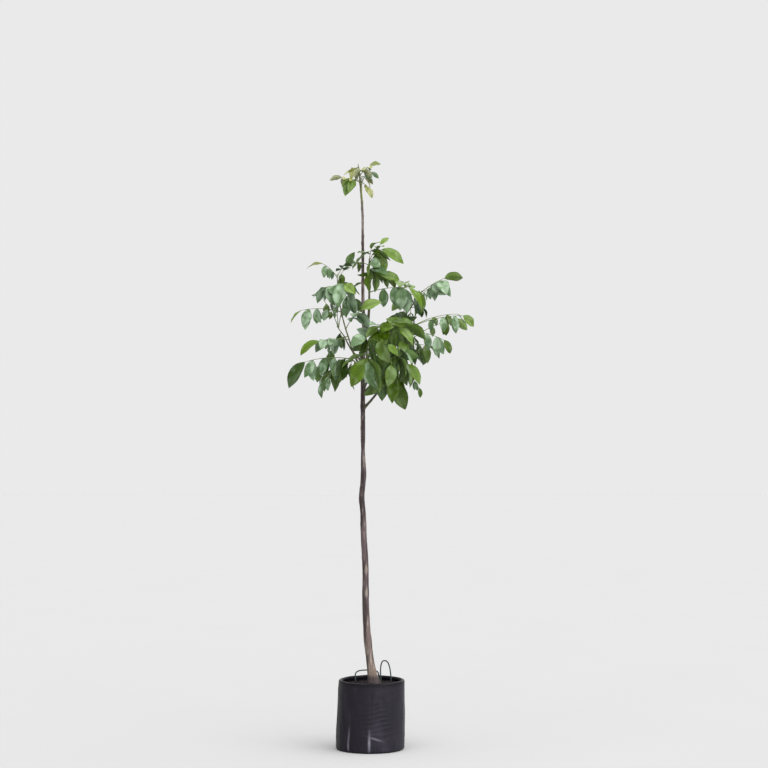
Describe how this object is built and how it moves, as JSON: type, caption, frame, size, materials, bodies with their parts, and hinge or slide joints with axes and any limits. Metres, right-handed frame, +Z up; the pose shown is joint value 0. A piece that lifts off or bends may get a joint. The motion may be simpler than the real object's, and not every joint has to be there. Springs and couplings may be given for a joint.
{
  "type": "potted walnut sapling",
  "caption": "Young walnut tree on a tall clear stem with a loose crown of hanging compound leaves, standing in a black film nursery bag with rope handles.",
  "frame": {"origin": "centre of the bag's flat underside, on the surface that it stands on", "axes": "+Z up, along the stem; -Y towards the viewer, the side seen from the front; +X to the viewer's right"},
  "size_m": [0.955, 0.8584, 3.0132],
  "materials": {
    "film": "satin",
    "soil": "matte",
    "bark": "matte",
    "young_bark": "matte",
    "leaf": "satin",
    "rope": "matte"
  },
  "bodies": {
    "root": {"bag": "film", "root_ball": "soil", "trunk": "bark", "handle_back": "rope", "handle_right": "rope", "bough_left": "young_bark", "bough_upright": "young_bark", "bough_right": "young_bark", "bough_right_middle": "young_bark", "bough_low_right": "young_bark", "bough_low_left": "young_bark", "bough_front": "young_bark", "bough_front_upper": "young_bark", "bough_front_right": "young_bark", "bough_back_left": "young_bark", "bough_back": "young_bark", "bough_back_right": "young_bark", "spray_leader": "leaf", "spray_upright": "leaf", "spray_left": "leaf", "spray_low_left": "leaf", "spray_front": "leaf", "spray_front_upper": "leaf", "spray_front_right": "leaf", "spray_low_right": "leaf", "spray_right_middle": "leaf", "spray_right": "leaf", "spray_back_left": "leaf", "spray_back": "leaf", "spray_back_right": "leaf"}
  },
  "joints": []
}
